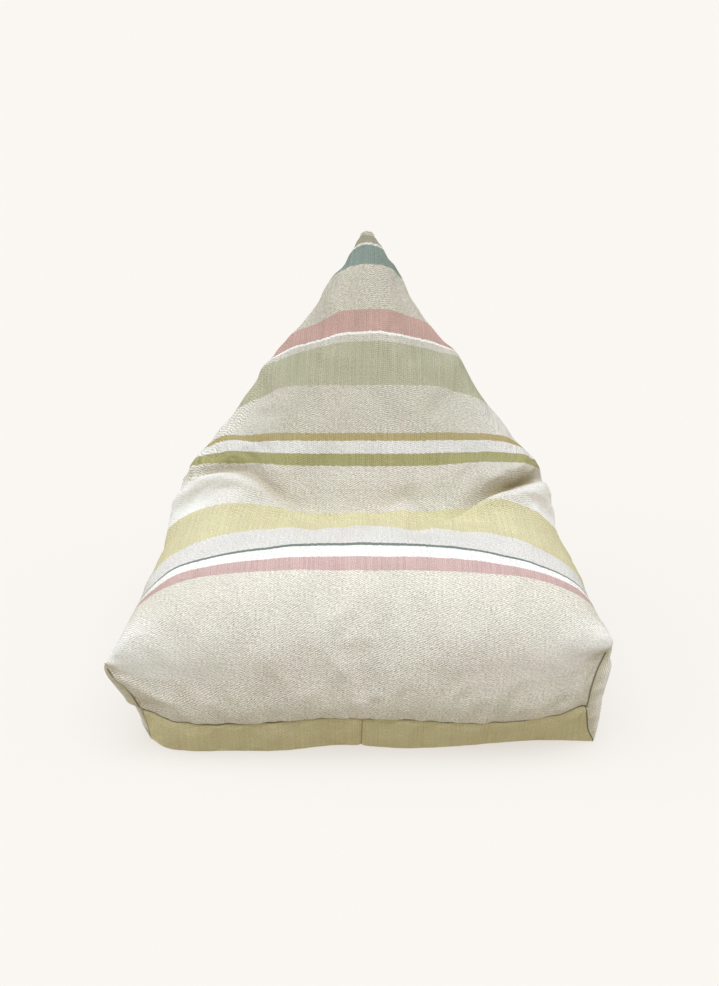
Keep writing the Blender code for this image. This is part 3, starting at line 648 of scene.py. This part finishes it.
def drawn_in(grid, distance):
    """The grid with its four edges moved in."""
    grid = grid.copy()
    rows = [(np.s_[0], np.s_[1]), (np.s_[-1], np.s_[-2])]
    columns = [(np.s_[:, 0], np.s_[:, 1]), (np.s_[:, -1], np.s_[:, -2])]
    for edge, inner_line in rows + columns:
        way = grid[inner_line] - grid[edge]
        grid[edge] += way * (distance / np.linalg.norm(way, axis=-1))[..., None]
    return grid


def sunk(grid, depth):
    """The grid moved inward along its normals."""
    numbers = np.arange(grid[..., 0].size).reshape(grid.shape[:2])
    flat = grid.reshape(-1, 3)
    return (flat - depth * vertex_normals(flat, grid_faces(numbers[::-1]))).reshape(grid.shape)


ROUNDING_TURNS = 2


def sewn_piece(name, points, tones, patches, loose_faces=()):
    """A closed piece, subdivided once, from grids of vertex numbers with their places on the cloth.

    A patch is a grid of vertex numbers, the places that its stripes follow, and those of its weave.
    The tones are named numbers at each point that its material reads.
    """
    faces, stripes, weave = [], [], []
    for ids, stripe_place, weave_place in patches:
        corners = grid_faces(np.arange(ids.size).reshape(ids.shape))
        faces += grid_faces(ids).tolist()
        stripes.append(stripe_place.reshape(-1, 2)[corners].reshape(-1, 2))
        weave.append(weave_place.reshape(-1, 2)[corners].reshape(-1, 2))
    for face in loose_faces:
        faces.append([int(number) for number in face])
        stripes.append(np.zeros((len(face), 2)))
        weave.append(np.zeros((len(face), 2)))
    used = np.unique(np.concatenate([np.array(face) for face in faces]))
    renumber = np.full(len(points), -1)
    renumber[used] = np.arange(len(used))
    mesh = bpy.data.meshes.new(name)
    mesh.from_pydata(points[used].tolist(), [], [renumber[face].tolist() for face in faces])
    for layer, places in (("stripes", stripes), ("weave", weave)):
        mesh.uv_layers.new(name=layer).data.foreach_set("uv", np.concatenate(places).ravel())
    for layer, amounts in tones.items():
        mesh.attributes.new(layer, "FLOAT", "POINT").data.foreach_set("value", amounts[used])
    draft = placed(name + "_draft", mesh)
    rounding = draft.modifiers.new("rounding", "SUBSURF")
    rounding.levels = rounding.render_levels = 1
    # Subdividing draws points in, so they start further out, and end where they belong
    wanted = points[used]
    current = wanted.copy()
    for turn in range(ROUNDING_TURNS + 1):
        mesh.vertices.foreach_set("co", current.ravel())
        mesh.update()
        evaluated = draft.evaluated_get(bpy.context.evaluated_depsgraph_get())
        finished = bpy.data.meshes.new_from_object(evaluated)
        if turn < ROUNDING_TURNS:
            reached = np.array([vertex.co for vertex in finished.vertices[:len(used)]])
            current += wanted - reached
            bpy.data.meshes.remove(finished)
    bpy.data.objects.remove(draft, do_unlink=True)
    for vertex in finished.vertices:
        vertex.co.z = max(vertex.co.z, 0.0)
    finished.name = name
    finished.shade_smooth()
    return placed(name, finished)


# The part of the outside that the two underside panels cover, from the front seam to near the back
PANEL_END_HALF = 0.030
panel_rows = int(np.argmax(points[fan_ids[:, FOOT["right"]], 0] < PANEL_END_HALF))
panel_ids = np.concatenate([lower_ids, fan_ids[1:panel_rows, UNDERNEATH]])

# The cover is closed by its own inside under the panels
UNDER_PANEL_GAP = 0.0008
recess = sunk(drawn_in(points[panel_ids], SEAM_GAP), CLOTH_THICKNESS + UNDER_PANEL_GAP)
recess_ids = len(points) + np.arange(panel_ids.size).reshape(panel_ids.shape)
cover_points = np.concatenate([points, recess.reshape(-1, 3)])
unseen_tone = np.zeros(recess_ids.size)
cover_tones = {
    "from_seam": np.concatenate([to_seam, unseen_tone + 1]),
    "tucked": np.concatenate([tucked, unseen_tone]),
    "faded": np.concatenate([faded, unseen_tone]),
}
ridge = fan_ids[-1]
closing = [[ridge[MIDDLE], ridge[MIDDLE + 1], ridge[MIDDLE - 1]]]
for step in range(1, TOP_CELLS + SIDE_CELLS):
    right, left = ridge[MIDDLE + step:MIDDLE + step + 2], ridge[MIDDLE - step - 1:MIDDLE - step + 1]
    closing.append([right[0], right[1], left[0], left[1]])
closing.append(list(ridge[FOOT["right"]:-1]) + list(ridge[:FOOT["left"] + 1]))
strips = [
    np.stack([upper_ids[-1], recess_ids[0]]), np.stack([recess_ids[:, 0], panel_ids[:, 0]]),
    np.stack([panel_ids[:, -1], recess_ids[:, -1]]), np.stack([recess_ids[-1], panel_ids[-1]])]
top = np.s_[:, FOOT["left"]:FOOT["right"] + 1]
patches = [
    (fan_ids[top], fan_place[top], fan_weave[top]), (upper_ids[::-1], upper_place[::-1], upper_weave[::-1])]
behind_panels = fan_ids[panel_rows - 1:]
unseen = [recess_ids[::-1], behind_panels[:, :FOOT["left"] + 1], behind_panels[:, FOOT["right"]:]]
for ids in unseen + strips:
    patches.append((ids, cover_points[ids][..., :2], cover_points[ids][..., :2]))
cover = sewn_piece("striped_cover", cover_points, cover_tones, patches, closing)

# The cloth's colours, as linear light. The undyed natural is one colour: its copies on the seat and up the
# back are darker, as painted shade where less light falls.
NATURAL = (0.80, 0.772, 0.705)
SHADED_SEAT_NATURAL = (0.70, 0.665, 0.595)
SHADED_BACK_NATURAL = (0.59, 0.562, 0.475)
PALE = (0.755, 0.745, 0.73)
BACK_PALE = (0.60, 0.58, 0.505)
WHITE = (0.98, 0.98, 0.97)
# The whitish colour of painted light
PAINTED_LIGHT_COLOUR = (0.95, 0.95, 0.94)


def linear(red, green, blue):
    """A colour given as sRGB bytes, turned to linear light."""
    return tuple(((c / 255 + 0.055) / 1.055) ** 2.4 for c in (red, green, blue))


# Each stripe from the front seam up: where it starts, its colour, and how ribbed its weave is, from
# the twill's 0 to 1. The olive, ochre, sage, pink and teal up the back are given a little darker, as
# painted shade.
STRIPES = [
    (-1.000, NATURAL, 0.0),
    (0.299, linear(204, 169, 168), 0.9),
    (0.335, WHITE, 0.2),
    (0.378, linear(84, 108, 104), 0.0),
    (0.384, PALE, 0.2),
    (0.485, linear(215, 208, 163), 0.5),
    (0.563, SHADED_SEAT_NATURAL, 0.0),
    (0.655, linear(155, 151, 85), 0.9),
    (0.680, PALE, 0.4),
    (0.703, linear(170, 152, 90), 0.9),
    (0.718, SHADED_BACK_NATURAL, 0.0),
    (0.810, linear(174, 173, 144), 0.8),
    (0.899, BACK_PALE, 0.4),
    (0.914, WHITE, 0.4),
    (0.919, linear(192, 151, 142), 0.9),
    (0.962, SHADED_BACK_NATURAL, 0.0),
    (1.050, linear(113, 136, 129), 0.9),
    (1.088, PALE, 0.4),
    (1.096, linear(152, 150, 125), 0.9),
    (1.108, SHADED_BACK_NATURAL, 0.0),
]


class Value:
    """One output of a node in a material. Arithmetic on it adds Math nodes to the same material."""

    def __init__(self, tree, socket=None):
        self.tree = tree
        self.socket = socket

    def node(self, kind, settings, inputs, output=0):
        """A new node with its settings and its inputs, which are values or links."""
        made = self.tree.nodes.new("ShaderNode" + kind)
        for name, setting in settings.items():
            if name == "stops":
                ramp = made.color_ramp.elements
                while len(ramp) < len(setting):
                    ramp.new(0.5)
                for element, (position, colour) in zip(ramp, setting):
                    element.position = position
                for element, (position, colour) in zip(ramp, setting):
                    element.color = colour
            elif name == "interpolation":
                made.color_ramp.interpolation = setting
            else:
                setattr(made, name, setting)
        for name, given in inputs.items():
            if isinstance(given, Value):
                self.tree.links.new(given.socket, made.inputs[name])
            else:
                made.inputs[name].default_value = given
        return Value(self.tree, made.outputs[output])

    def other_output(self, output):
        """Another output of the node that this value comes from."""
        return Value(self.tree, self.socket.node.outputs[output])

    def part(self, axis):
        """One of a vector's three numbers."""
        return self.node("SeparateXYZ", {}, {0: self}, axis)

    def math(self, operation, *others):
        numbers = dict(enumerate((self,) + others))
        return self.node("Math", {"operation": operation}, numbers)

    def __add__(self, other):
        return self.math("ADD", other)

    def __sub__(self, other):
        return self.math("SUBTRACT", other)

    def __rsub__(self, other):
        return self.node("Math", {"operation": "SUBTRACT"}, {0: other, 1: self})

    def __mul__(self, other):
        return self.math("MULTIPLY", other)

    def __truediv__(self, other):
        return self.math("DIVIDE", other)

    __radd__ = __add__
    __rmul__ = __mul__


def waves(phase):
    """A wave from 0 to 1 that repeats with each whole number."""
    return 0.5 + 0.5 * (2 * math.pi * phase).math("COSINE")


def clamped(value):
    """The value, kept from 0 to 1."""
    return value.math("MAXIMUM", 0.0).math("MINIMUM", 1.0)


def mixed(blend, factor, low, high):
    """Two colours mixed by a factor. The factor, and each colour, is a value or plain numbers."""
    owner = low if isinstance(low, Value) else factor
    settings = {"data_type": "RGBA", "blend_type": blend}
    return owner.node("Mix", settings, {0: factor, 6: low, 7: high}, 2)


# The weave: the distance from one warp yarn to the next and from one weft to the next, and how long a
# float is. The yarns wander by some millimetres, and a stripe's edge by less.
WARP_PITCH = 0.0019
WEFT_PITCH = 0.0010
FLOAT_LENGTH = 0.0064
WARP_WANDER = 0.0050
WEFT_WANDER = 0.0040
EDGE_STEP = 0.0014
EDGE_WANDER = 0.0009
# How many changes a metre each unevenness has, across and along the cloth. A streak's second number is
# for each diagonal line.
WANDER_CHANGES = (14.0, 45.0)
PATCH_CHANGES = (16.0, 16.0)
CAST_CHANGES = (11.0, 11.0)
YARN_CHANGES = (560.0, 430.0)
SLUB_CHANGES = (30.0, 560.0)
WARP_END_CHANGES = (330.0, 5.0)
STREAK_CHANGES = (215.0, 1.7)
BUMP_HEIGHT = 0.0009
BUMP_STRENGTH = 0.8
# Where a seam's painted shade line ends and how softly, its colour, the tint of painted shade where shade
# falls, and the tints of uneven cloth
SEAM_SHADE_START = 0.0007
SEAM_SHADE_WIDTH = 0.0020
SEAM_SHADE = (0.21, 0.18, 0.11, 1)
PAINTED_SHADE_TINT = (0.66, 0.60, 0.42, 1)
ROSY = (1.012, 0.995, 0.988, 1)
LEAFY = (0.993, 1.002, 0.980, 1)
# The lengths of cloth at the two ends of the stripes' colour ramp
RAMP_LOW = -0.1
RAMP_HIGH = 1.15


def woven_cotton(name, stripes, depth, tint):
    """A cotton twill: weft yarns in stripes over a natural warp, with broken diagonal floats.

    The stripes are flatter than the twill between them, and show their warp yarns as fine ribs.
    """
    material = bpy.data.materials.new(name)
    material.use_nodes = True
    surface = material.node_tree.nodes["Principled BSDF"]
    start = Value(material.node_tree)
    stripe_cloth = start.node("UVMap", {"uv_map": "stripes"}, {}).part(1)
    place = start.node("UVMap", {"uv_map": "weave"}, {})
    across, cloth = place.part(0), place.part(1)

    def noise(vector, detail=2.0):
        inputs = {"Vector": vector, "Scale": 1.0, "Detail": detail}
        return start.node("TexNoise", {"noise_dimensions": "2D"}, inputs)

    def uneven(changes, detail=2.0):
        """Uneven tone from 0 to 1, with its own number of changes a metre each way."""
        inputs = {"Vector": place, "Scale": changes + (1.0,)}
        return noise(start.node("Mapping", {}, inputs), detail)

    def step_tone(steps):
        """A tone from 0 to 1 that jumps at each whole number."""
        return start.node("TexWhiteNoise", {"noise_dimensions": "1D"}, {"W": steps.math("FLOOR")})

    # The yarns wander a little, and the diagonal rib climbs one weft for each warp
    wander_across = uneven(WANDER_CHANGES)
    wander_cloth = uneven(WANDER_CHANGES[::-1])
    warp = (across + WARP_WANDER * (wander_across - 0.5)) / WARP_PITCH
    weft = (cloth + WEFT_WANDER * (wander_cloth - 0.5)) / WEFT_PITCH
    diagonal = (warp - weft) / 4
    twill = waves(diagonal)
    rib = waves(warp)
    pick = waves(weft)

    # Each diagonal line is broken into floats, and no two lines break at the same places
    floats = waves(across / FLOAT_LENGTH + 0.6 * step_tone(diagonal + 0.5))
    streak = noise(start.node(
        "CombineXYZ", {}, {0: across * STREAK_CHANGES[0], 1: diagonal * STREAK_CHANGES[1]}))
    patchy = uneven(PATCH_CHANGES)
    yarn = uneven(YARN_CHANGES, 3.0)
    slub = uneven(SLUB_CHANGES, 3.0)
    end_tone = uneven(WARP_END_CHANGES)

    # A stripe's edge steps up and down from one group of warp yarns to the next
    tooth = step_tone(warp / 3)
    edge = stripe_cloth + EDGE_STEP * (tooth - 0.5) + EDGE_WANDER * (wander_cloth - 0.5)
    stops = []
    for from_cloth, dye, ribbed in stripes:
        stops.append((max(0.0, (from_cloth - RAMP_LOW) / (RAMP_HIGH - RAMP_LOW)), dye + (ribbed,)))
    dyed = start.node("ValToRGB", {"interpolation": "CONSTANT", "stops": stops}, {
        "Fac": (edge - RAMP_LOW) / (RAMP_HIGH - RAMP_LOW)})
    ribbed = dyed.other_output(1)
    # Painted light: whiter, with less weave showing, where the arms, shoulders and back's sides catch the
    # light
    faded = start.node("Attribute", {"attribute_name": "faded"}, {}, 2)
    faded = faded * (1.0 - 2.0 * ribbed).math("MAXIMUM", 0.0)
    twilled = (1.0 - 0.75 * ribbed) * (1.0 - 0.5 * faded)

    # The numbers here say how much each yarn and unevenness counts in the tone, and then in the height
    weave_tone = twilled * (twill - 0.5) * (0.35 + 1.3 * floats)
    weave_tone = weave_tone + ribbed * 0.8 * yarn * (waves(warp / 2) - 0.5)
    warp_shows = 0.04 + 0.10 * twill + 0.12 * yarn
    colour = mixed("MIX", warp_shows, dyed, NATURAL + (1,))
    colour = mixed("MIX", faded, colour, PAINTED_LIGHT_COLOUR + (1,))
    tone = 1.0 + depth * weave_tone + depth * 2.4 * twilled * (streak - 0.5)
    tone = tone + (0.70 - 0.30 * faded) * (yarn - 0.5) + 0.20 * (slub - 0.5)
    tone = tone + 0.30 * (0.3 + ribbed) * (end_tone - 0.5) + 0.16 * (patchy - 0.5)
    shade = start.node("CombineColor", {}, {0: tone, 1: tone, 2: tone})
    cast = mixed("MIX", (uneven(CAST_CHANGES) - 0.5) * 3.0 + 0.5, LEAFY, ROSY)
    colour = mixed("MULTIPLY", 1.0, mixed("MULTIPLY", 1.0, colour, shade), cast)
    colour = mixed("MULTIPLY", 1.0, colour, tint + (1,))
    # Painted shade: darker and yellower where shade falls in the crease, beside the seams and under the
    # left ear
    away = start.node("Attribute", {"attribute_name": "tucked"}, {}, 2)
    colour = mixed("MULTIPLY", away, colour, PAINTED_SHADE_TINT)
    # Painted shade: a dark line along each seam, where the cloth meets in a tight crevice
    from_seam = start.node("Attribute", {"attribute_name": "from_seam"}, {}, 2)
    open_cloth = clamped((from_seam - SEAM_SHADE_START) / SEAM_SHADE_WIDTH)
    colour = mixed("MIX", open_cloth, SEAM_SHADE, colour)
    height = twilled * (0.5 * twill * (0.4 + floats) + 0.5 * streak) + 0.25 * rib + 0.12 * pick
    height = height + 0.45 * yarn + 0.25 * slub + 0.3 * ribbed * waves(warp / 2)
    bump = start.node("Bump", {}, {
        "Height": height, "Distance": BUMP_HEIGHT, "Strength": BUMP_STRENGTH})
    rough = 0.86 + 0.12 * (yarn - 0.5)
    for socket, value in (("Base Color", colour), ("Normal", bump), ("Roughness", rough)):
        material.node_tree.links.new(value.socket, surface.inputs[socket])
    surface.inputs["Specular IOR Level"].default_value = 0.25
    return material


cover.data.materials.append(woven_cotton("striped_cotton", STRIPES, 0.44, (1.0, 1.0, 1.0)))
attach(cover, "root")
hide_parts("seat_and_back")

# The two underside panels
# Plain cotton in the cover's natural colour, cut in two and joined down the middle. Each turns up in
# front to the front seam, and is sewn to the cover along its side and at the back.
PLAIN_STRIPES = [(-1.0, NATURAL, 0.5), (2.0, NATURAL, 0.5)]
# Painted shade: the underside's cloth is darkened and yellowed, as it faces the floor
UNDERSIDE_SHADE_TINT = (0.87, 0.83, 0.57)
plain_cotton = woven_cotton("plain_cotton", PLAIN_STRIPES, 0.16, UNDERSIDE_SHADE_TINT)
panel_place = np.empty(panel_ids.shape + (2,))
panel_points = points[panel_ids]
panel_place[..., 0] = panel_points[..., 0]
row_steps = np.linalg.norm(np.diff(panel_points, axis=0), axis=-1)
panel_place[..., 1] = np.concatenate([np.zeros((1, panel_ids.shape[1])), np.cumsum(row_steps, axis=0)])


def underside_panel(name, columns):
    """One half of the underside: a sheet of the cloth's thickness, with rounded edges."""
    outside = drawn_in(panel_points[:, columns], SEAM_GAP)
    inside = sunk(outside, CLOTH_THICKNESS)
    place = panel_place[:, columns]
    outer_ids = np.arange(outside[..., 0].size).reshape(outside.shape[:2])
    inner_ids = outer_ids + outer_ids.size
    both = np.concatenate([outside.reshape(-1, 3), inside.reshape(-1, 3)])
    patches = [(outer_ids[::-1], place[::-1], place[::-1]), (inner_ids, place, place)]
    for edge, order in ((np.s_[0], 1), (np.s_[-1], -1), (np.s_[:, 0], -1), (np.s_[:, -1], 1)):
        pair = np.stack([outer_ids[edge], inner_ids[edge]])[::order]
        pair_place = np.stack([place[edge], place[edge]])[::order]
        patches.append((pair, pair_place, pair_place))
    panel_from_seam = np.tile(to_seam[panel_ids[:, columns]].ravel(), 2)
    even = np.zeros(len(both))
    panel = sewn_piece(name, both, {"from_seam": panel_from_seam, "tucked": even, "faded": even}, patches)
    panel.data.materials.append(plain_cotton)
    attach(panel, "root")
    return panel


left_panel = underside_panel("underside_left_cloth", np.s_[:TOP_CELLS + 1])
right_panel = underside_panel("underside_right_cloth", np.s_[TOP_CELLS:])
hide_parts("underside_left")
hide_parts("underside_right")

# The floor, the light and the camera
# A pale studio floor that runs out of view and shines a little itself, one large soft light above, cool
# light from the sides, more from the left, and warm light from below. The camera looks down in front.
FLOOR_REACH = 30.0
FLOOR_GAP = 0.0005
floor_mesh = bpy.data.meshes.new("studio_floor")
square = np.array([(-1, -1), (1, -1), (1, 1), (-1, 1)]) * FLOOR_REACH
floor_corners = [(x, y, -FLOOR_GAP) for x, y in square]
floor_mesh.from_pydata(floor_corners, [], [(0, 1, 2, 3)])
studio_floor = placed("studio_floor", floor_mesh)
studio_floor.visible_diffuse = False
floor_paint = bpy.data.materials.new("floor_paint")
floor_paint.use_nodes = True
floor_surface = floor_paint.node_tree.nodes["Principled BSDF"]
for socket, value in (
        ("Base Color", (0.300, 0.286, 0.266, 1)), ("Emission Color", (0.613, 0.598, 0.581, 1)),
        ("Emission Strength", 1.0), ("Roughness", 0.9), ("Specular IOR Level", 0.0)):
    floor_surface.inputs[socket].default_value = value
floor_mesh.materials.append(floor_paint)

AIR_COLOUR = (1.0, 0.95, 0.86, 1)
SIDE_COLOUR = (0.88, 0.94, 1.0, 1)
GROUND_COLOUR = (1.0, 0.91, 0.70, 1)
AIR_STRENGTH = 0.37
SIDE_STRENGTH = 0.80
MORE_FROM_LEFT = 0.35
GROUND_STRENGTH = 0.51
KEY_COLOUR = (0.863, 0.912, 1.0)
KEY_STRENGTH = 2.0
world = bpy.data.worlds.new("studio_air")
world.use_nodes = True
air = Value(world.node_tree)
direction = air.node("TexCoord", {}, {}, 0)
to_side, upward = direction.part(0), direction.part(2)
above = clamped(upward * 4.0 + 0.5)
from_side = to_side * to_side * (1.0 - MORE_FROM_LEFT * to_side) * clamped(upward + 0.15)
sky = mixed("MIX", above, GROUND_COLOUR, AIR_COLOUR)
sky = mixed("MIX", from_side, sky, SIDE_COLOUR)
background = world.node_tree.nodes["Background"]
strength = GROUND_STRENGTH + (AIR_STRENGTH - GROUND_STRENGTH) * above + SIDE_STRENGTH * 2 * from_side
world.node_tree.links.new(sky.socket, background.inputs["Color"])
world.node_tree.links.new(strength.socket, background.inputs["Strength"])
bpy.context.scene.world = world
key_data = bpy.data.lights.new("soft_key", "SUN")
key_data.angle = math.radians(60)
key_data.energy = KEY_STRENGTH
key_data.color = KEY_COLOUR
placed("soft_key", key_data).rotation_euler = (math.radians(16), math.radians(3), 0)

CAMERA_TARGET = np.array((0.0020, -0.0718, 0.333))
CAMERA_DISTANCE = 3.3
CAMERA_ELEVATION = math.radians(22.0)
camera_data = bpy.data.cameras.new("camera")
camera_data.lens = 62.5
camera_data.sensor_width = 36.0
camera = placed("camera", camera_data)
back_along_view = np.array((0, -math.cos(CAMERA_ELEVATION), math.sin(CAMERA_ELEVATION)))
camera.location = CAMERA_TARGET + CAMERA_DISTANCE * back_along_view
camera.rotation_euler = (math.pi / 2 - CAMERA_ELEVATION, 0, 0)
bpy.context.scene.camera = camera
bpy.context.scene.view_settings.view_transform = "Standard"
